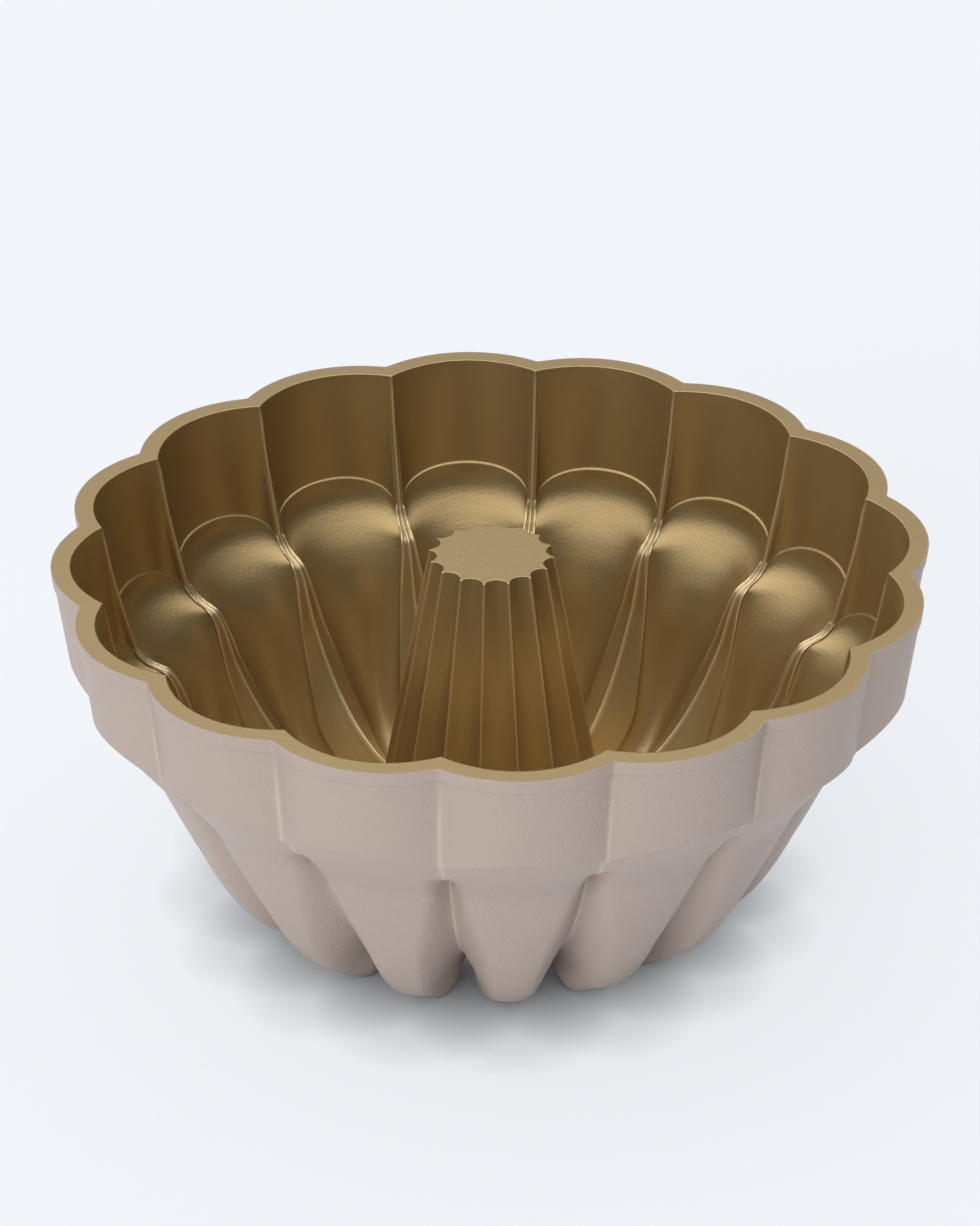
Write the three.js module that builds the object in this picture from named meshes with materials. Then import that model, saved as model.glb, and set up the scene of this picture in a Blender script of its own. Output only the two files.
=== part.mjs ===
import * as THREE from 'three';

// Sixteen-lobed ring cake mould, millimetres, +Z up, standing on the tips of its petals.
// The middle of one lobe lies on +X; a cusp is the line where two lobes meet.
const height = 112;
const lobeCount = 16;

// Rim: flat top between the outer and the inner scalloped outline.
const rimLobeRadius = 124.5;
const rimCuspRadius = 119.3;
const rimLobeWidth = 5.6;
const rimCuspWidth = 7.3;

// Outside band under the rim, with a narrow raised collar at its head.
const collarHeight = 4;
const collarStep = 0.45;
const bandLean = 0.14;
const bandDropLobe = 29;
const bandDropCusp = 35;
const bandCornerDrop = 4;
const bandCornerInset = 1.4;

// Inside panels above the arched petal pockets.
const panelLean = 0.165;
const archDropLobe = 32;
const archDropCusp = 45;
const cuspCurl = 4.2;
const archRoundness = 2.2;
const ledgeWidth = 0.9;
const ledgeFall = 0.4;
const riserDrop = 3.2;
const riserLean = 0.9;

// Pocket wall in the middle of a lobe, from its brow down to the trough floor.
const browRadius = 101;
const browHeight = 67.5;
const wallTopRadius = 97;
const wallTopHeight = 62;
const wallWaistRadius = 86;
const wallWaistHeight = 33;
const heelRadius = 77;
const troughRadius = 54;
const floorThickness = 4;

// Rib crest between two pockets, from its shoulder to the foot of the cone.
const ribShoulderRadius = 94;
const ribShoulderHeight = 65;
const ribBendRadius = 74;
const ribBendHeight = 11;
const ribFootRadius = 37;
const ribFootHeight = 15.5;
const bendPull = 2 / 3;

// Fluted cone in the middle, closed on top and hollow underneath.
const coneTopDrop = 1;
const coneTopRadius = 17.7;
const coneSlope = 0.185;
const fluteDepth = 1.7;
const coneFootHeight = 9.5;
const coneWall = 5;
const coneTopThickness = 4;
const hollowFootHeight = 14;

// Wall of the casting and the coats that lie on it.
const petalWall = 4;
const ribWall = 3.2;
const valleyHead = 0.35;
const landOuterRadius = 62;
const landHalfWidth = 0.32;
const coatThickness = 0.25;

// Lobe columns, as a share of half a lobe counted from its middle to the cusp.
const flankShare = 0.78;
const columnShares = [-1, -flankShare, -landHalfWidth, 0, landHalfWidth, flankShare];
const columnsPerLobe = columnShares.length;

// Shares of the way down the pocket wall at which the rings lie.
const wallSteps = [0, 0.3, 0.6, 0.84];
const petalSteps = [0, 0.3, 0.6];
const landOuterStep = 0.72;
const landInnerStep = 0.84;
const flatHead = 0.6;
const flatRun = 0.6;
const crestLead = 0.14;

const halfLobe = Math.PI / lobeCount;
const landColumns = [2, 3];

const scallop = (share) => share * share;
const arch = (share) => 1 - (1 - share ** archRoundness) ** (1 / archRoundness);
const mix = (from, to, share) => from + (to - from) * share;

// Level across the lobe up to the rib's flank, then a straight flank; the level part narrows downwards.
function petalAt(step) {
  const flat = mix(flatHead, landHalfWidth, Math.min(1, step / flatRun));
  return (share) => Math.max(0, share - flat) / (1 - flat);
}

// One ring of vertices: a profile point at the lobe middle blends to one at the cusp.
function ring(lobePoint, cuspPoint, blend) {
  const points = [];
  for (let lobe = 0; lobe < lobeCount; lobe += 1) {
    for (const share of columnShares) {
      const angle = (2 * lobe + share) * halfLobe;
      const weight = blend(Math.abs(share));
      const radius = mix(lobePoint[0], cuspPoint[0], weight);
      const level = mix(lobePoint[1], cuspPoint[1], weight);
      points.push(new THREE.Vector3(radius * Math.cos(angle), radius * Math.sin(angle), level));
    }
  }
  return points;
}

// Cubic Bezier point, moved to the outside of the curve by an offset.
function curvePoint(controls, step, offset) {
  const rest = 1 - step;
  const weights = [rest ** 3, 3 * rest * rest * step, 3 * rest * step * step, step ** 3];
  const slopes = [rest * rest, 2 * rest * step, step * step];
  const at = (axis) => weights.reduce((sum, weight, k) => sum + weight * controls[k][axis], 0);
  const along = (axis) =>
    slopes.reduce((sum, weight, k) => sum + weight * (controls[k + 1][axis] - controls[k][axis]), 0);
  const length = Math.hypot(along(0), along(1));
  return [at(0) - (offset * along(1)) / length, at(1) + (offset * along(0)) / length];
}

const lobeWall = [
  [wallTopRadius, wallTopHeight],
  [wallWaistRadius, wallWaistHeight],
  [heelRadius, floorThickness],
  [troughRadius, floorThickness],
];

const pointBetween = (from, to, share) => [mix(from[0], to[0], share), mix(from[1], to[1], share)];
const ribShoulder = [ribShoulderRadius, ribShoulderHeight];
const ribBend = [ribBendRadius, ribBendHeight];
const ribFoot = [ribFootRadius, ribFootHeight];
const ribCrest = [
  ribShoulder,
  pointBetween(ribShoulder, ribBend, bendPull),
  pointBetween(ribFoot, ribBend, bendPull),
  ribFoot,
];

const coneTop = height - coneTopDrop;
const hollowTop = coneTop - coneTopThickness;
const coneRadius = (level) => coneTopRadius + coneSlope * (coneTop - level);

// Visible inside of the mould, from the rim down the lobes and up the cone.
function cavityRings() {
  const rimLobe = rimLobeRadius - rimLobeWidth;
  const rimCusp = rimCuspRadius - rimCuspWidth;
  const archLobe = [rimLobe - panelLean * archDropLobe, height - archDropLobe];
  const archCusp = [rimCusp - panelLean * archDropCusp - cuspCurl, height - archDropCusp];
  const ledgeLobe = [archLobe[0] - ledgeWidth, archLobe[1] - ledgeFall];
  const ledgeCusp = [archCusp[0] - ledgeWidth, archCusp[1] - ledgeFall];
  const riserLobe = [ledgeLobe[0] - riserLean, ledgeLobe[1] - riserDrop];
  const rings = [
    ring([rimLobe, height], [rimCusp, height], scallop),
    ring(archLobe, archCusp, arch),
    ring(ledgeLobe, ledgeCusp, arch),
    ring(riserLobe, ribShoulder, arch),
    ring([browRadius, browHeight], curvePoint(ribCrest, crestLead / 2, 0), scallop),
  ];
  for (const step of wallSteps) {
    const crest = curvePoint(ribCrest, mix(crestLead, 1, step), 0);
    rings.push(ring(curvePoint(lobeWall, step, 0), crest, petalAt(step)));
  }
  const groove = [coneRadius(coneFootHeight) - fluteDepth, coneFootHeight];
  const ridge = [coneRadius(ribFootHeight), ribFootHeight];
  rings.push(ring([troughRadius, floorThickness], ribFoot, petalAt(1)));
  rings.push(ring(groove, ridge, scallop));
  rings.push(ring([coneTopRadius - fluteDepth, coneTop], [coneTopRadius, coneTop], scallop));
  return rings;
}

// Ring where the valleys between the petals begin, still shallow.
const headRing = (front, valley) => ring(front, pointBetween(front, valley, valleyHead), scallop);

// Visible outside, from the rim down the band and the petals and up into the hollow cone.
function outsideRings() {
  const leaned = (radius, drop) => radius - bandLean * drop;
  const bandPoint = (radius, drop, inset) => [leaned(radius, drop) - inset, height - drop];
  const pair = (lobeDrop, cuspDrop, inset) => [
    bandPoint(rimLobeRadius, lobeDrop, inset),
    bandPoint(rimCuspRadius, cuspDrop, inset),
  ];
  const rings = [
    ring(...pair(0, 0, 0), scallop),
    ring(...pair(collarHeight, collarHeight, 0), scallop),
    ring(...pair(collarHeight + collarStep, collarHeight + collarStep, collarStep), scallop),
    ring(...pair(bandDropLobe, bandDropCusp, collarStep), scallop),
    ring(
      ...pair(bandDropLobe + bandCornerDrop, bandDropCusp + bandCornerDrop, collarStep + bandCornerInset),
      scallop,
    ),
  ];
  for (const step of petalSteps) {
    const front = curvePoint(lobeWall, step, petalWall);
    const valley = curvePoint(ribCrest, step, ribWall);
    rings.push(step > 0 ? ring(front, valley, petalAt(step)) : headRing(front, valley));
  }
  rings.push(ring([landOuterRadius, 0], curvePoint(ribCrest, landOuterStep, ribWall), petalAt(1)));
  rings.push(ring([troughRadius, 0], curvePoint(ribCrest, landInnerStep, ribWall), petalAt(1)));
  const footRadius = coneRadius(hollowFootHeight) - coneWall;
  const topRadius = coneRadius(hollowTop) - coneWall;
  rings.push(ring([ribFootRadius, floorThickness], [ribFootRadius, ribFootHeight - ribWall], petalAt(1)));
  rings.push(ring([footRadius, hollowFootHeight], [footRadius, hollowFootHeight + ribWall], scallop));
  rings.push(ring([topRadius, hollowTop], [topRadius, hollowTop], scallop));
  return rings;
}

const columnCount = lobeCount * columnsPerLobe;
const isLand = (column) => landColumns.includes(column % columnsPerLobe);

// The same rings moved along their surface normals, towards the metal.
function sunkRings(rings, depth) {
  return rings.map((points, row) =>
    points.map((point, column) => {
      const after = rings[Math.min(row + 1, rings.length - 1)][column];
      const before = rings[Math.max(row - 1, 0)][column];
      const left = points[(column + columnCount - 1) % columnCount];
      const right = points[(column + 1) % columnCount];
      const down = after.clone().sub(before);
      const normal = right.clone().sub(left).cross(down).normalize();
      return point.clone().addScaledVector(normal, depth);
    }),
  );
}

const levelled = (points, level) => points.map((point) => point.clone().setZ(level));

// Triangles between following rings, split alike on both sides of a lobe's middle.
// Rings listed from the rim down the cavity give triangles that face the cavity.
function sheet(rings, isOpen = () => false) {
  const triangles = [];
  for (let row = 0; row + 1 < rings.length; row += 1) {
    for (let column = 0; column < columnCount; column += 1) {
      const next = (column + 1) % columnCount;
      const corners = [rings[row][column], rings[row][next], rings[row + 1][next], rings[row + 1][column]];
      const turn = column % columnsPerLobe < columnsPerLobe / 2 ? 0 : 1;
      const [a, b, c, d] = [0, 1, 2, 3].map((k) => corners[(k + turn) % 4]);
      if (!isOpen(row, column)) {
        triangles.push([a, b, c], [a, c, d]);
      }
    }
  }
  return triangles;
}

// Flat fan that closes the last ring on the axis.
function fan(points, level) {
  const pole = new THREE.Vector3(0, 0, level);
  return points.map((point, column) => [point, points[(column + 1) % columnCount], pole]);
}

const turned = (triangles) => triangles.map(([a, b, c]) => [a, c, b]);

function geometryOf(triangles) {
  const geometry = new THREE.BufferGeometry().setFromPoints(triangles.flat());
  geometry.computeVertexNormals();
  return geometry;
}

const cavity = cavityRings();
const outside = outsideRings();
const landRow = outside.length - 5;

// Metal under the lining: the cavity rings sunk into the wall, with the corners set back square.
const cavityMetal = sunkRings(cavity, -coatThickness);
cavityMetal[0] = levelled(cavityMetal[0], height - coatThickness);
cavityMetal[cavity.length - 1] = levelled(cavityMetal.at(-1), coneTop - coatThickness);

// Metal under the outer coat; the coat runs out to nothing round each flat land.
const outsideMetal = sunkRings(outside, coatThickness);
outsideMetal[0] = levelled(outsideMetal[0], height);
outsideMetal[outside.length - 1] = levelled(outsideMetal.at(-1), hollowTop + coatThickness);
for (const row of [landRow, landRow + 1]) {
  for (let column = 0; column < columnCount; column += 1) {
    if (isLand(column) || isLand((column + columnCount - 1) % columnCount)) {
      outsideMetal[row][column] = outside[row][column].clone();
    }
  }
}
const rimMetal = levelled(outsideMetal[0], height - coatThickness);
const outsideBody = [rimMetal, ...outsideMetal.slice(1)];
const isLandOf = (firstRow) => (row, column) => isLand(column) && row === firstRow;

function castingGeometry() {
  return geometryOf([
    ...sheet(cavityMetal),
    ...fan(cavityMetal.at(-1), coneTop - coatThickness),
    ...sheet([rimMetal, cavityMetal[0]]),
    ...turned(sheet(outsideBody)),
    ...turned(fan(outsideBody.at(-1), hollowTop + coatThickness)),
  ]);
}

function liningGeometry() {
  return geometryOf([
    ...sheet(cavity),
    ...fan(cavity.at(-1), coneTop),
    ...sheet([outsideMetal[0], cavity[0]]),
    ...turned(sheet([outsideMetal[0], rimMetal])),
    ...turned(sheet([rimMetal, cavityMetal[0]])),
    ...turned(sheet(cavityMetal)),
    ...turned(fan(cavityMetal.at(-1), coneTop - coatThickness)),
  ]);
}

function outerCoatGeometry() {
  return geometryOf([
    ...sheet([outside[0], outsideMetal[0]]),
    ...sheet([outsideMetal[0], ...outsideBody], isLandOf(landRow + 1)),
    ...fan(outsideBody.at(-1), hollowTop + coatThickness),
    ...turned(sheet(outside, isLandOf(landRow))),
    ...turned(fan(outside.at(-1), hollowTop)),
  ]);
}

function piece(name, geometry, color, roughness, metalness) {
  const material = new THREE.MeshStandardMaterial({ color, roughness, metalness });
  const mesh = new THREE.Mesh(geometry, material);
  mesh.name = name;
  return mesh;
}

const mould = new THREE.Group();
mould.name = 'kugelhopf_mould';
mould.add(
  piece('cast_body', castingGeometry(), 0xb9bbbd, 0.5, 0.9),
  piece('nonstick_lining', liningGeometry(), 0x8a6c3c, 0.42, 0.7),
  piece('outer_coat', outerCoatGeometry(), 0xb9aaa1, 0.5, 0.4),
);

export default mould;
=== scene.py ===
import math

import bpy
import numpy as np
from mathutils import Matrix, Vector


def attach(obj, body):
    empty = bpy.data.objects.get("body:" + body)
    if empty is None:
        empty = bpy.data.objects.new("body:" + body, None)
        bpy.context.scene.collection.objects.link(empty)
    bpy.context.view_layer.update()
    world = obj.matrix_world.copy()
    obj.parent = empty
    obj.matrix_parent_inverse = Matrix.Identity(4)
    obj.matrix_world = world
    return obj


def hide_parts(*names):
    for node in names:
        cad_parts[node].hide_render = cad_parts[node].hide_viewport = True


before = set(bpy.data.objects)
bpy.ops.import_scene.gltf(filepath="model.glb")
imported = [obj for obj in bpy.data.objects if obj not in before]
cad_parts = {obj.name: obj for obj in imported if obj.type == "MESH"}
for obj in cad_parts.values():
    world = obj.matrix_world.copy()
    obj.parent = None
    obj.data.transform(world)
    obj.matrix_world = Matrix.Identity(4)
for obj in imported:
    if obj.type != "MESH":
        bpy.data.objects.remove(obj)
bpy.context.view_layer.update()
mm = 0.001
tiny = 1e-9  # keeps divisions and comparisons safe
print("frame loaded:", sorted(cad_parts))

# sizes shared by every piece, in millimetres: one lobe runs from its middle (share 0)
# to the cusp where it meets the next lobe (share 1)
mould = {
    "height": 112.0,
    "lobes": 16,
    "coat": 0.25,  # thickness of lining and outer coat
    "landShare": 0.15,  # half width of the flat under a petal tip
    "landOuter": 62.0,
    "troughRadius": 54.0,
    "petalWall": 4.0,
    "ribWall": 2.4,
    "coneTop": 111.0,
    "coneTopRadius": 17.7,
    "coneSlope": 0.185,
    "fluteDepth": 2.1,
    "hollowTop": 107.0,
}

# pocket wall at the lobe middle and rib crest at the cusp, as Bezier controls (radius, height)
lobeWall = [(97.0, 62.0), (86.0, 33.0), (77.0, 4.0), (54.0, 4.0)]
ribCrest = [(93.6, 64.8), (80.5, 29.0), (61.7, 12.5), (37.0, 15.5)]

# columns of the sheets: one of them, at this place of half a lobe, follows the edge of a form
edgePlace = 0.66


def lobePlaces(inner=13, outer=9):
    # places from -1 up to 1, crowded on both sides of the edge column and at the cusp
    inside = edgePlace * np.sin(np.linspace(0.0, math.pi / 2, inner))
    outside = edgePlace + (1 - edgePlace) * (1 - np.cos(np.linspace(0.0, math.pi, outer))) / 2
    half = np.concatenate([inside, outside[1:]])
    return np.concatenate([-half[::-1], half[1:-1]])


oneLobe = lobePlaces()
place = np.tile(oneLobe, mould["lobes"])
lobeIndex = np.repeat(np.arange(mould["lobes"]), len(oneLobe))
columns = len(place)


def sharesOf(edge):
    # share of every column when the edge column lies at the share given, straight on both sides of it
    near = np.abs(place)
    past = edge + (1 - edge) * (near - edgePlace) / (1 - edgePlace)
    return np.where(near < edgePlace, edge * near / edgePlace, past)


def ring(lobePoint, cuspPoint, blend, edge=edgePlace):
    # closed ring: the lobe's point (radius, height) moved towards the cusp's by the blend of the share
    share = sharesOf(edge)
    weight = blend(share)
    angle = (2 * lobeIndex + np.sign(place) * share) * math.pi / mould["lobes"]
    radius = lobePoint[0] + (cuspPoint[0] - lobePoint[0]) * weight
    height = lobePoint[1] + (cuspPoint[1] - lobePoint[1]) * weight
    return np.stack([radius * np.cos(angle), radius * np.sin(angle), height], axis=1)


def scallop(soft=0.0):
    # square of the share, rounded off near the cusp by a hyperbola of half width soft
    return lambda share: np.maximum(1 - np.sqrt((1 - share) ** 2 + soft**2), 0.0) ** 2


def pocketCurve(edge, part=1.0, bowl=0.0, power=2.1, crest=0.03):
    # scooped up to the edge by a superellipse, or as far as bowl says by a parabola;
    # past the edge a straight flank climbs the rest of the way to a rounded crest
    def blend(share):
        reach = np.minimum(share / edge, 1.0)
        scoop = (1 - bowl) * (1 - (1 - reach**power) ** (1 / power)) + bowl * reach**2
        near = 1 - np.sqrt((1 - share) ** 2 + crest**2) + crest
        return part * scoop + (1 - part) * np.maximum(near - edge, 0.0) / (1 - edge)

    return blend


def petalCurve(flat, crown=0.3, soft=0.08, crest=0.015):
    # a crowned front up to the share called flat, then a straight flank down to a rounded crease
    def blend(share):
        near = 1 - np.sqrt((1 - share) ** 2 + crest**2) + crest
        ramp = lambda s: (s - flat + np.sqrt((s - flat) ** 2 + soft**2)) / 2
        flank = (ramp(near) - ramp(0.0)) / (ramp(1.0) - ramp(0.0))
        return crown * near**2 + (1 - crown) * flank

    return blend


def noseCurve(power=3.0):
    # level across the flat under a petal tip, then rounding away faster towards the cusp
    land = mould["landShare"]
    return lambda share: (np.maximum(share - land, 0.0) / (1 - land)) ** power


def level(share):
    return np.zeros_like(share)


def fade(ends, step):
    # straight change from the first value to the second, held at the second
    return ends[0] + (ends[1] - ends[0]) * min(step, 1.0)


def rising(distance, width):
    # straight rise from nothing to one over the width, held at one
    return np.clip(distance / width, 0.0, 1.0)


def bezierPoint(controls, step, offset=0.0):
    # cubic Bezier point, moved square to the curve towards the outside of the mould
    points = np.array(controls)
    rest = 1 - step
    spot = np.array([rest**3, 3 * rest**2 * step, 3 * rest * step**2, step**3]) @ points
    along = np.array([rest**2, 2 * rest * step, step**2]) @ np.diff(points, axis=0)
    along = along / np.hypot(*along)
    return spot + offset * np.array([-along[1], along[0]])


def roundCorners(rings, cuts, bends=4, runs=1, mostOfStretch=0.48):
    # sheet through the rings with each corner cut back and bridged by a quadratic Bezier;
    # a cut of nothing leaves the ring as it is, and stretches beside a corner get rows of their own
    corners = [rings[0][None]]
    step = np.linspace(0.0, 1.0, bends)[:, None, None]
    for key, cut in zip(range(1, len(rings) - 1), cuts):
        if not cut:
            corners.append(rings[key][None])
            continue
        back = rings[key - 1] - rings[key]
        ahead = rings[key + 1] - rings[key]
        backLength = np.maximum(np.linalg.norm(back, axis=1, keepdims=True), tiny)
        aheadLength = np.maximum(np.linalg.norm(ahead, axis=1, keepdims=True), tiny)
        reach = np.minimum(cut, mostOfStretch * np.minimum(backLength, aheadLength))
        start = rings[key] + back / backLength * reach
        end = rings[key] + ahead / aheadLength * reach
        corners.append((1 - step) ** 2 * start + 2 * step * (1 - step) * rings[key] + step**2 * end)
    corners.append(rings[-1][None])
    rows = []
    between = np.linspace(0.0, 1.0, runs + 2)[1:-1, None, None]
    for here, there in zip(corners[:-1], corners[1:]):
        rows.append(here)
        if len(here) > 1 or len(there) > 1:
            rows.append(here[-1:] + (there[:1] - here[-1:]) * between)
    rows.append(corners[-1])
    return np.concatenate(rows)


def moved(points, distance):
    # a sheet of points moved along its own normals, which come from its row and column steps
    down = np.gradient(points, axis=0)
    around = np.roll(points, -1, axis=1) - np.roll(points, 1, axis=1)
    normal = np.cross(around, down)
    normal = normal / np.maximum(np.linalg.norm(normal, axis=-1, keepdims=True), tiny)
    return points + distance * normal


def lineDistance(lobed, keys):
    # distance of every point from the nearest of the columns named,
    # in its own lobe or, for the first column, at the next lobe's start
    lines = [lobed[:, :, key:key + 1] for key in keys]
    lines += [np.roll(lobed[:, :, :1], -1, axis=1)] if 0 in keys else []
    return np.min([np.linalg.norm(lobed - line, axis=-1) for line in lines], axis=0)


def beaded(rows, bead, edgeReach, crestReach):
    # points lifted along their normals by a bell curve of the distance from edges and crests,
    # and that curve itself, which the material uses as a painted highlight along them
    lobed = rows.reshape(len(rows), mould["lobes"], -1, 3)
    edges = np.flatnonzero(np.isclose(np.abs(oneLobe), edgePlace))
    lift = np.zeros(lobed.shape[:3])
    for keys, reach in ((edges, edgeReach), ([0], crestReach)):
        bell = np.exp(-((lineDistance(lobed, keys) / bead["halfWidth"]) ** 2))
        lift = np.maximum(lift, bell * reach[:, None, None])
    lift = lift.reshape(rows.shape[:2])
    return moved(rows, bead["lift"] * lift[..., None]), lift


def coneRadius(height):
    return mould["coneTopRadius"] + mould["coneSlope"] * (mould["coneTop"] - height)


# inside of the mould: rim, leaning panels, scooped pockets, ribs, trough and fluted cone;
# pairs of points are (radius, height) at the lobe middle and at the cusp
cavitySizes = {
    "rimStart": [(119.5, 112.0), (112.6, 112.0)],
    "rimEdge": [(118.9, 112.0), (112.0, 112.0)],
    "rimRow": 0.1,  # share of the rim's flat top outside its extra row
    "panelWaist": [(116.3, 96.0), (109.6, 96.0)],
    "cuspSoft": 0.01,
    "archEdge": [(113.5, 80.2), (103.7, 72.4)],
    "archShare": 0.94,  # half width of a pocket's arch
    # pocket from under its arch down to the wall, at the lobe middle and at the cusp
    "bowlMiddle": [
        (112.7, 79.8), (112.3, 76.8), (111.4, 74.2), (109.8, 71.8),
        (107.4, 69.4), (104.4, 66.6), (100.6, 62.8), (96.4, 57.2),
    ],
    "bowlCusp": [
        (103.2, 71.6), (102.0, 69.7), (100.3, 68.1), (98.4, 66.9),
        (96.3, 66.1), (93.6, 65.0), (91.0, 60.9), (89.1, 55.4),
    ],
    "bowlShares": [0.94, 0.94, 0.935, 0.93, 0.92, 0.91, 0.88, 0.83],  # half width of the scoop
    "bowlParts": (1.0, 0.82),  # how much of the depth is scoop, the rest is the rib's flank
    "bowlRounding": (0.0, 0.5),
    "wallStart": 0.15,  # step of the wall's curve where the bowl ends
    "wallRows": 15,
    "wallFade": 0.4,  # steps over which the next two change
    "wallShares": (0.78, 0.42),  # half width from there to where the scoop runs out
    "wallParts": (0.75, 0.35),
    "wallRounding": 0.7,
    "troughEdge": [(40.0, 4.6), (36.2, 15.8)],
    "coneFoot": 19.0,
    "fluteSoft": 0.03,  # rounding of the ridges of the cone
    "topInset": 0.6,  # first ring of the cone's flat top
    "rounding": {
        "rim": 0.4, "waist": 9.0, "arch": 0.3, "ledge": 0.35, "bowl": 2.4, "trough": 5.0, "foot": 6.0,
    },
    # bead along the edges of the scoops and the crests of the ribs, run out at the end radius of each,
    # and lower along the ridges of the cone; the same curve paints a highlight along them
    "bead": {
        "lift": 0.45, "halfWidth": 0.45, "edgeEnd": 84.0, "crestEnd": 55.0,
        "fade": 12.0, "rise": 1.0, "coneReach": 0.55,
    },
}


def cavityRows():
    sizes, rounding = cavitySizes, cavitySizes["rounding"]
    panel, arch = scallop(sizes["cuspSoft"]), sizes["archShare"]
    rings = [ring(*sizes[name], panel, arch) for name in ("rimStart", "rimEdge", "panelWaist")]
    rings.append(ring(*sizes["archEdge"], pocketCurve(arch), arch))
    cuts = [rounding[name] for name in ("rim", "waist", "arch", "ledge")]
    # the bowl's rounding changes over its upper half and its part of the depth over the lower half
    bowlRings = len(sizes["bowlMiddle"])
    for key, points in enumerate(zip(sizes["bowlMiddle"], sizes["bowlCusp"])):
        step = key / (bowlRings - 1)
        edge = sizes["bowlShares"][key]
        part = fade(sizes["bowlParts"], max(2 * step - 1, 0.0))
        bowl = fade(sizes["bowlRounding"], 2 * step)
        rings.append(ring(*points, pocketCurve(edge, part, bowl), edge))
    cuts += [rounding["bowl"]] * (bowlRings - 1)
    for step in np.linspace(sizes["wallStart"], 1.0, sizes["wallRows"]):
        drop = (step - sizes["wallStart"]) / sizes["wallFade"]
        edge = fade(sizes["wallShares"], drop)
        across = pocketCurve(edge, fade(sizes["wallParts"], drop), sizes["wallRounding"])
        rings.append(ring(bezierPoint(lobeWall, step), bezierPoint(ribCrest, step), across, edge))
        cuts.append(0.0)
    rings.append(ring(*sizes["troughEdge"], across, edge))
    foot, top = coneRadius(sizes["coneFoot"]), mould["coneTopRadius"]
    coneRims = [
        (foot, sizes["coneFoot"]), (top, mould["coneTop"]), (top - sizes["topInset"], mould["coneTop"]),
    ]
    for radius, height in coneRims:
        flute = (radius - mould["fluteDepth"], height)
        rings.append(ring(flute, (radius, height), scallop(sizes["fluteSoft"])))
    cuts += [rounding[name] for name in ("trough", "foot", "rim")]
    rows = roundCorners(rings, cuts)
    bead = sizes["bead"]
    middle = rows[:, np.argmin(np.abs(place))]
    radius, height = np.hypot(middle[:, 0], middle[:, 1]), middle[:, 2]
    underArch = rising(sizes["archEdge"][0][1] - height, bead["rise"])
    underRim = rising(mould["height"] - height, bead["rise"])
    edgeReach = rising(radius - bead["edgeEnd"], bead["fade"]) * underArch
    crestReach = rising(radius - bead["crestEnd"], bead["fade"]) * underRim
    coneEnd = mould["coneTop"] - rounding["rim"] / 2
    onCone = (radius < foot) & (height > sizes["coneFoot"]) & (height < coneEnd)
    return beaded(rows, bead, edgeReach, crestReach + bead["coneReach"] * onCone)


# outside of the mould: collar, scalloped band, petals with valleys between, hollow cone
outsideSizes = {
    "rimStart": [(124.2, 112.0), (118.2, 112.0)],
    "rimEdge": [(124.5, 112.0), (118.5, 112.0)],
    "collarFoot": [(124.1, 108.0), (118.1, 108.0)],
    "bandHead": [(123.6, 107.5), (117.6, 107.5)],
    "bandFoot": [(120.4, 83.0), (114.4, 78.2)],
    "bandUnder": [(117.6, 82.3), (111.6, 77.5)],
    "bandTurn": [(112.6, 74.2), (107.4, 70.2)],
    "shoulder": [(106.3, 65.8), (98.8, 65.6)],
    "creaseSoft": 0.018,  # rounding of the crease between two lobes
    "cuts": [0.25, 0.2, 0.2, 0.35, 0.3, 2.0, 2.0],  # rounding of the rings from rimEdge to shoulder
    # petals, by steps of the wall's curve; each fade is the steps over which a value changes
    "frontRows": 19,
    "shoulderWall": 5.5,  # thickness at the head of a petal
    "wallFade": 0.3,
    "flats": (0.82, 0.42),  # share of the lobe left between the valleys, at the top and at the tips
    "flatFade": 0.4,
    "crowns": (0.18, 0.3),
    "valleyHead": 0.95,  # depth of a valley where it begins
    "headFade": 0.1,
    "landSteps": [0.74, 0.86],  # where the valley passes the outer and the inner edge of the flats
    "landGap": 0.05,
    "tipParts": [0.25, 0.5, 0.75],  # rows between the last front and the flat under the tip
    # bead along the creases between lobes and petals, also painted paler there as a painted highlight
    "bead": {"lift": -0.3, "halfWidth": 0.45, "top": 107.0, "foot": 20.0, "rise": 4.0},
    "hollowEdge": [(36.5, 1.0), (36.5, 12.0)],
    "hollowEdgePower": 1.3,
    "hollowFoot": [(29.6, 12.0), (29.6, 16.5)],
    "hollowTopRadius": 13.4,
    "hollowCentre": 0.6,  # last ring before the pole
    "hollowCuts": [2.0, 3.0, 1.0],
}


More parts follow.
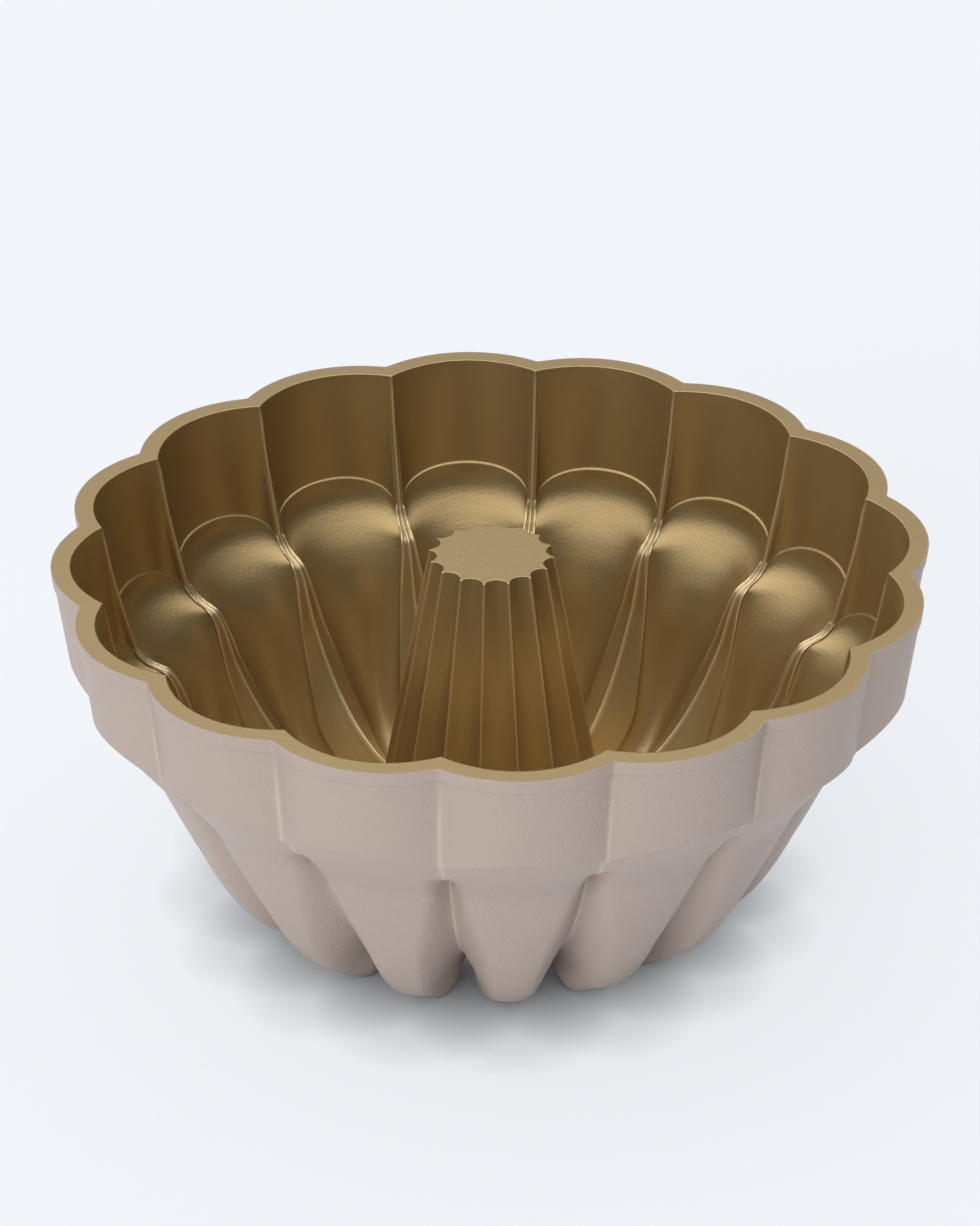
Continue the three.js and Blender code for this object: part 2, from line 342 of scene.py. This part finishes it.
def outsideRows():
    sizes = outsideSizes
    lobed = scallop(sizes["creaseSoft"])
    names = ("rimStart", "rimEdge", "collarFoot", "bandHead", "bandFoot", "bandUnder", "bandTurn")
    rings = [ring(*sizes[name], lobed) for name in names]
    rings.append(ring(*sizes["shoulder"], petalCurve(sizes["flats"][0], sizes["crowns"][0])))
    cuts = list(sizes["cuts"])
    firstLand = sizes["landSteps"][0]
    walls, heads = (sizes["shoulderWall"], mould["petalWall"]), (sizes["valleyHead"], 1.0)
    edges = (edgePlace, mould["landShare"])
    for step in np.linspace(0.0, firstLand - sizes["landGap"], sizes["frontRows"]):
        front = bezierPoint(lobeWall, step, fade(walls, step / sizes["wallFade"]))
        valley = bezierPoint(ribCrest, step, mould["ribWall"])
        valley = front + (valley - front) * fade(heads, step / sizes["headFade"])
        across = petalCurve(fade(sizes["flats"], step / sizes["flatFade"]), fade(sizes["crowns"], step))
        rings.append(ring(front, valley, across, fade(edges, step / firstLand)))
        cuts.append(0.0)
    valley = bezierPoint(ribCrest, firstLand, mould["ribWall"])
    land = ring((mould["landOuter"], 0.0), valley, noseCurve(), mould["landShare"])
    lastFront = rings[-1]
    for part in sizes["tipParts"]:
        rings.append(lastFront + (land - lastFront) * part)
        cuts.append(0.0)
    rings.append(land)
    rows = roundCorners(rings, cuts)
    bead = sizes["bead"]
    height = rows[:, 0, 2]
    reach = rising(bead["top"] - height, bead["rise"]) * rising(height - bead["foot"], bead["rise"])
    return beaded(rows, bead, np.zeros_like(reach), reach)


def underRows():
    # from the inner edge of the flats up into the hollow of the cone
    sizes = outsideSizes
    valley = bezierPoint(ribCrest, sizes["landSteps"][1], mould["ribWall"])
    rim = (sizes["hollowTopRadius"], mould["hollowTop"])
    centre = (sizes["hollowCentre"], mould["hollowTop"])
    rings = [
        ring((mould["troughRadius"], 0.0), valley, noseCurve(), mould["landShare"]),
        ring(*sizes["hollowEdge"], noseCurve(sizes["hollowEdgePower"])),
        ring(*sizes["hollowFoot"], scallop()),
        ring(rim, rim, level),
        ring(centre, centre, level),
    ]
    return roundCorners(rings, sizes["hollowCuts"])


# the second of each pair below is a painted highlight along the bead lines, for the material
cavity, cavityHighlight = cavityRows()
outsideUpper, upperHighlight = outsideRows()
outside = np.concatenate([outsideUpper, underRows()])
# painted highlight along the outer creases, none on the underside
outsideHighlight = np.zeros(outside.shape[:2])
outsideHighlight[:len(outsideUpper)] = upperHighlight
landRow = len(outsideUpper) - 1
isLandColumn = np.abs(place) < edgePlace + tiny
isLandQuad = isLandColumn & np.roll(isLandColumn, -1)
print("sheets:", cavity.shape[:2], outside.shape[:2])

# casting: the metal faces under the two coats, in fewer rows than theirs
castingSizes = {"everyRow": 2, "depth": 0.5}


def keptRows(count, also=()):
    # every so many rows of a sheet, those named and the last one
    kept = set(range(0, count, castingSizes["everyRow"])) | {*also, count - 1}
    return np.array(sorted(kept))


# round each flat the outer coat runs out to nothing, so both sheets meet there
outsideKept = keptRows(len(outside), (landRow, landRow + 1))
cavityMetal = moved(cavity, -castingSizes["depth"])[keptRows(len(cavity))]
outsideMetal = moved(outside, castingSizes["depth"])
touching = np.ix_([landRow, landRow + 1], np.flatnonzero(isLandColumn))
outsideMetal[touching] = outside[touching]
outsideMetal = outsideMetal[outsideKept]
metalLandRow = int(np.searchsorted(outsideKept, landRow))
cavityMetal[0, :, 2] = outsideMetal[0, :, 2] = mould["height"] - mould["coat"]
cavityMetal[-1, :, 2] = mould["coneTop"] - mould["coat"]
rimEdgeTop = outsideMetal[0] + np.array([0.0, 0.0, mould["coat"]])


def sheet(rows, turned=False, skipRow=None, pole=None, bead=None):
    # grid of points for buildPiece: turned flips its faces, skipRow leaves the flats open,
    # pole is the height of a point that closes the last row, bead is the painted highlight of each point
    return rows, turned, skipRow, pole, np.zeros(rows.shape[:2]) if bead is None else bead


def sheetFaces(rows, first, turned, skipRow):
    # quads between following rows, closed round the axis
    grid = first + np.arange(rows * columns).reshape(rows, columns)
    ahead = np.roll(grid, -1, axis=1)
    quads = np.stack([grid[:-1], ahead[:-1], ahead[1:], grid[1:]], axis=-1)
    keep = np.ones(quads.shape[:2], dtype=bool)
    if skipRow is not None:
        keep[skipRow] = ~isLandQuad
    quads = quads[keep]
    return quads[:, ::-1] if turned else quads


def buildPiece(name, sheets, node, material, weldDigits=5, sharpAngle=38):
    # sheets joined where their points agree to so many digits, smooth up to the sharp angle
    points, quads, fans, pointHighlights = [], [], [], []
    count = 0
    for rows, turned, skipRow, pole, bead in sheets:
        points.append(rows.reshape(-1, 3))
        pointHighlights.append(bead.ravel())
        quads.append(sheetFaces(len(rows), count, turned, skipRow))
        last = count + (len(rows) - 1) * columns + np.arange(columns)
        count += len(rows) * columns
        if pole is not None:
            points.append(np.array([[0.0, 0.0, pole]]))
            pointHighlights.append(np.zeros(1))
            fan = np.stack([last, np.roll(last, -1), np.full(columns, count)], axis=1)
            fans.append(fan[:, ::-1] if turned else fan)
            count += 1
    rounded = np.round(np.concatenate(points), weldDigits)
    spots, where = np.unique(rounded, axis=0, return_inverse=True)
    where = where.ravel()
    # painted highlight per point: the strongest of the sheets that meet there
    beadHighlight = np.zeros(len(spots))
    np.maximum.at(beadHighlight, where, np.concatenate(pointHighlights))
    faces = where[np.concatenate(quads)].tolist()
    for fan in fans:
        faces += where[fan].tolist()
    mesh = bpy.data.meshes.new(name)
    mesh.from_pydata((spots * mm).tolist(), [], faces)
    # the bead attribute carries the painted highlight to the material
    mesh.attributes.new("bead", "FLOAT", "POINT").data.foreach_set("value", beadHighlight)
    mesh.validate()
    mesh.shade_smooth()
    mesh.set_sharp_from_angle(angle=math.radians(sharpAngle))
    mesh.materials.append(material)
    piece = bpy.data.objects.new(name, mesh)
    bpy.context.scene.collection.objects.link(piece)
    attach(piece, "root")
    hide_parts(node)
    print(name, len(mesh.vertices), "vertices", len(mesh.polygons), "faces")


def linear(hexColour):
    # sRGB hex to linear RGBA
    values = [int(hexColour[k:k + 2], 16) / 255 for k in (1, 3, 5)]
    return [v / 12.92 if v <= 0.04045 else ((v + 0.055) / 1.055) ** 2.4 for v in values] + [1.0]


def addNode(tree, kind, settings, links):
    # one node with its settings, by name or by number of an input, and links from (node, output name)
    node = tree.nodes.new(kind)
    for key, value in settings.items():
        if isinstance(key, int) or key in node.inputs:
            node.inputs[key].default_value = value
        else:
            setattr(node, key, value)
    for key, (source, output) in links.items():
        tree.links.new(source.outputs[output], node.inputs[key])
    return node


# in each look grain is the width of the sprayed pebbles and grainHeight their height, in millimetres,
# coarser than on a real coat so that they show; edge is a painted highlight colour along every bead

# golden non-stick coat: satin and warm, darkens to bronze where it mirrors itself
liningLook = {
    "colour": "#b09665", "edge": "#e6d2a8", "metallic": 0.8, "roughness": 0.34, "gloss": 0.5,
    "grain": 0.8, "bump": 0.65, "grainHeight": 0.12,
}
# rose-champagne coat: paler and flatter, the same sprayed grain
coatLook = {
    "colour": "#b6a59b", "edge": "#c6b8ae", "metallic": 0.4, "roughness": 0.46, "gloss": 0.0,
    "grain": 0.9, "bump": 1.0, "grainHeight": 0.24,
}
# bare casting: grey and dull, only on the flats under the tips
castLook = {
    "colour": "#b4b6b8", "edge": "#b4b6b8", "metallic": 1.0, "roughness": 0.45, "gloss": 0.0,
    "grain": 0.8, "bump": 0.3, "grainHeight": 0.1,
}
grainNoise = {"Detail": 2.0, "Roughness": 0.55}


def grainedCoat(name, look):
    # sprayed metallic coat: a fine pebbled grain breaks up the gloss of the pigment flakes,
    # and a paler colour is painted along every bead as a painted highlight
    material = bpy.data.materials.new(name)
    material.use_nodes = True
    tree = material.node_tree
    shader = tree.nodes["Principled BSDF"]
    shader.inputs["Metallic"].default_value = look["metallic"]
    shader.inputs["Roughness"].default_value = look["roughness"]
    shader.inputs["Coat Weight"].default_value = look["gloss"]
    shader.inputs["Coat Roughness"].default_value = look["roughness"]
    # painted highlight: the bead attribute mixes the paler edge colour into the base colour
    bead = addNode(tree, "ShaderNodeAttribute", {"attribute_name": "bead"}, {})
    colour = addNode(
        tree, "ShaderNodeMixRGB",
        {"Color1": linear(look["colour"]), "Color2": linear(look["edge"])},
        {"Fac": (bead, "Fac")},
    )
    tree.links.new(colour.outputs["Color"], shader.inputs["Base Color"])
    spot = addNode(tree, "ShaderNodeTexCoord", {}, {})
    grain = addNode(
        tree, "ShaderNodeTexNoise",
        {"Scale": 1 / (look["grain"] * mm), **grainNoise},
        {"Vector": (spot, "Object")},
    )
    bump = addNode(
        tree, "ShaderNodeBump",
        {"Strength": look["bump"], "Distance": look["grainHeight"] * mm},
        {"Height": (grain, "Fac")},
    )
    tree.links.new(bump.outputs["Normal"], shader.inputs["Normal"])
    tree.links.new(bump.outputs["Normal"], shader.inputs["Coat Normal"])
    return material


liningGold = grainedCoat("golden_nonstick_coat", liningLook)
champagneCoat = grainedCoat("champagne_sprayed_coat", coatLook)
castMetal = grainedCoat("bare_cast_aluminium", castLook)

coneTop, hollowTop = mould["coneTop"], mould["hollowTop"]
coneMetal, hollowMetal = coneTop - mould["coat"], hollowTop + mould["coat"]
rimRow = (1 - cavitySizes["rimRow"]) * rimEdgeTop + cavitySizes["rimRow"] * cavity[0]
rimTop = np.stack([rimEdgeTop, rimRow, cavity[0]])
rimUnder = np.stack([outsideMetal[0], cavityMetal[0]])
rimSide = np.stack([rimEdgeTop, outsideMetal[0]])

buildPiece(
    "lining", [
        sheet(rimTop),
        sheet(cavity, pole=coneTop, bead=cavityHighlight),
        sheet(rimSide, turned=True),
        sheet(rimUnder, turned=True),
        sheet(cavityMetal, turned=True, pole=coneMetal),
    ],
    "nonstick_lining", liningGold,
)
buildPiece(
    "casting", [
        sheet(rimUnder),
        sheet(cavityMetal, pole=coneMetal),
        sheet(outsideMetal, turned=True, pole=hollowMetal),
    ],
    "cast_body", castMetal,
)
buildPiece(
    "coat", [
        sheet(np.stack([outside[0], rimEdgeTop])),
        sheet(rimSide),
        sheet(outsideMetal, skipRow=metalLandRow, pole=hollowMetal),
        sheet(outside, turned=True, skipRow=landRow, pole=hollowTop, bead=outsideHighlight),
    ],
    "outer_coat", champagneCoat,
)

# floor and light; turns are degrees round from the front, rises are degrees above the floor
studio = {
    "floor": "#eef2f7",
    "floorSize": 14.0,
    "paperRoughness": 0.9,
    "paperGlow": "#f1f5f9",  # what the camera and the metal see of the paper, away from the mould
    "paperGlowShare": 0.8,
    "contactReach": 24.0,  # how far from the mould the paper is shaded, in millimetres
    "contactDepth": 0.9,
    "contactSamples": 8,
    "skyColour": "#ffffff",
    "skyTowards": (-0.12, 0.2, 0.97),  # where the sky is brightest: above, behind and a little left
    "skyReach": (0.4, 1.0),  # how far it faces there at its darkest and at its brightest
    "skyLevels": (0.08, 1.75),
    "lampStrength": 2.3,
    "lampAngle": 40.0,
    "lampTurn": -35.0,
    "lampRise": 16.0,
}


def layFloor():
    # pale paper for the camera and the metal, shaded where the mould stands over it
    half = studio["floorSize"] / 2
    corners = [(-half, -half, 0), (half, -half, 0), (half, half, 0), (-half, half, 0)]
    mesh = bpy.data.meshes.new("floor")
    mesh.from_pydata(corners, [], [(0, 1, 2, 3)])
    paper = bpy.data.materials.new("pale_studio_paper")
    paper.use_nodes = True
    tree = paper.node_tree
    shader = tree.nodes["Principled BSDF"]
    shader.inputs["Base Color"].default_value = linear(studio["floor"])
    shader.inputs["Roughness"].default_value = studio["paperRoughness"]
    shader.inputs["Specular IOR Level"].default_value = 0.0
    path = addNode(tree, "ShaderNodeLightPath", {}, {})
    mirrored = addNode(
        tree, "ShaderNodeMath", {"operation": "MAXIMUM"},
        {0: (path, "Is Glossy Ray"), 1: (path, "Is Transmission Ray")},
    )
    seen = addNode(
        tree, "ShaderNodeMath", {"operation": "MAXIMUM"},
        {0: (path, "Is Camera Ray"), 1: (mirrored, "Value")},
    )
    share = addNode(
        tree, "ShaderNodeMath", {"operation": "MULTIPLY", 1: studio["paperGlowShare"]}, {0: (seen, "Value")}
    )
    openness = addNode(
        tree, "ShaderNodeAmbientOcclusion",
        {"samples": studio["contactSamples"], "Distance": studio["contactReach"] * mm}, {},
    )
    shade = addNode(
        tree, "ShaderNodeMath", {"operation": "POWER", 1: studio["contactDepth"]}, {0: (openness, "AO")}
    )
    glow = addNode(
        tree, "ShaderNodeEmission", {"Color": linear(studio["paperGlow"])}, {"Strength": (shade, "Value")}
    )
    mixed = addNode(
        tree, "ShaderNodeMixShader", {}, {0: (share, "Value"), 1: (shader, "BSDF"), 2: (glow, "Emission")}
    )
    tree.links.new(mixed.outputs["Shader"], tree.nodes["Material Output"].inputs["Surface"])
    mesh.materials.append(paper)
    floor = bpy.data.objects.new("floor", mesh)
    bpy.context.scene.collection.objects.link(floor)


def towards(turn, rise):
    # direction out from the mould
    turn, rise = math.radians(turn), math.radians(rise)
    return Vector((math.sin(turn) * math.cos(rise), -math.cos(turn) * math.cos(rise), math.sin(rise)))


def lightStudio():
    # sky that brightens towards one side, plus one very soft low lamp from the front left
    world = bpy.data.worlds.new("studio")
    world.use_nodes = True
    tree = world.node_tree
    tree.nodes.clear()
    spot = addNode(tree, "ShaderNodeTexCoord", {}, {})
    facing = addNode(
        tree, "ShaderNodeVectorMath",
        {"operation": "DOT_PRODUCT", 1: Vector(studio["skyTowards"]).normalized()},
        {0: (spot, "Generated")},
    )
    glowLevel = addNode(
        tree, "ShaderNodeMapRange",
        {
            "interpolation_type": "SMOOTHSTEP",
            "From Min": studio["skyReach"][0], "From Max": studio["skyReach"][1],
            "To Min": studio["skyLevels"][0], "To Max": studio["skyLevels"][1],
        },
        {"Value": (facing, "Value")},
    )
    glow = addNode(
        tree, "ShaderNodeBackground",
        {"Color": linear(studio["skyColour"])}, {"Strength": (glowLevel, "Result")},
    )
    addNode(tree, "ShaderNodeOutputWorld", {}, {"Surface": (glow, "Background")})
    bpy.context.scene.world = world
    lamp = bpy.data.lights.new("softLamp", "SUN")
    lamp.energy = studio["lampStrength"]
    lamp.angle = math.radians(studio["lampAngle"])
    holder = bpy.data.objects.new("softLamp", lamp)
    aim = towards(studio["lampTurn"], studio["lampRise"])
    holder.rotation_euler = aim.to_track_quat("Z", "Y").to_euler()
    holder.visible_glossy = False
    bpy.context.scene.collection.objects.link(holder)


cameraSizes = {
    "turn": -4.45,
    "rise": 29.16,
    "distance": 1.3548,  # from the middle of the rim, in metres
    "sensor": 36.0,
    "focalPixels": 4787.7,
    "frameHeight": 1226,
    "rimPixel": (1.657, -63.196),  # where the rim's middle lies from the frame's middle
}


def placeCamera():
    sizes = cameraSizes
    data = bpy.data.cameras.new("camera")
    data.sensor_width = sizes["sensor"]
    data.lens = sizes["focalPixels"] / sizes["frameHeight"] * sizes["sensor"]
    data.shift_x = -sizes["rimPixel"][0] / sizes["frameHeight"]
    data.shift_y = sizes["rimPixel"][1] / sizes["frameHeight"]
    back = towards(sizes["turn"], sizes["rise"])
    camera = bpy.data.objects.new("camera", data)
    camera.location = Vector((0, 0, mould["height"] * mm)) + back * sizes["distance"]
    camera.rotation_euler = back.to_track_quat("Z", "Y").to_euler()
    bpy.context.scene.collection.objects.link(camera)
    bpy.context.scene.camera = camera


layFloor()
lightStudio()
placeCamera()
bpy.context.scene.view_settings.view_transform = "Standard"
print("studio ready")
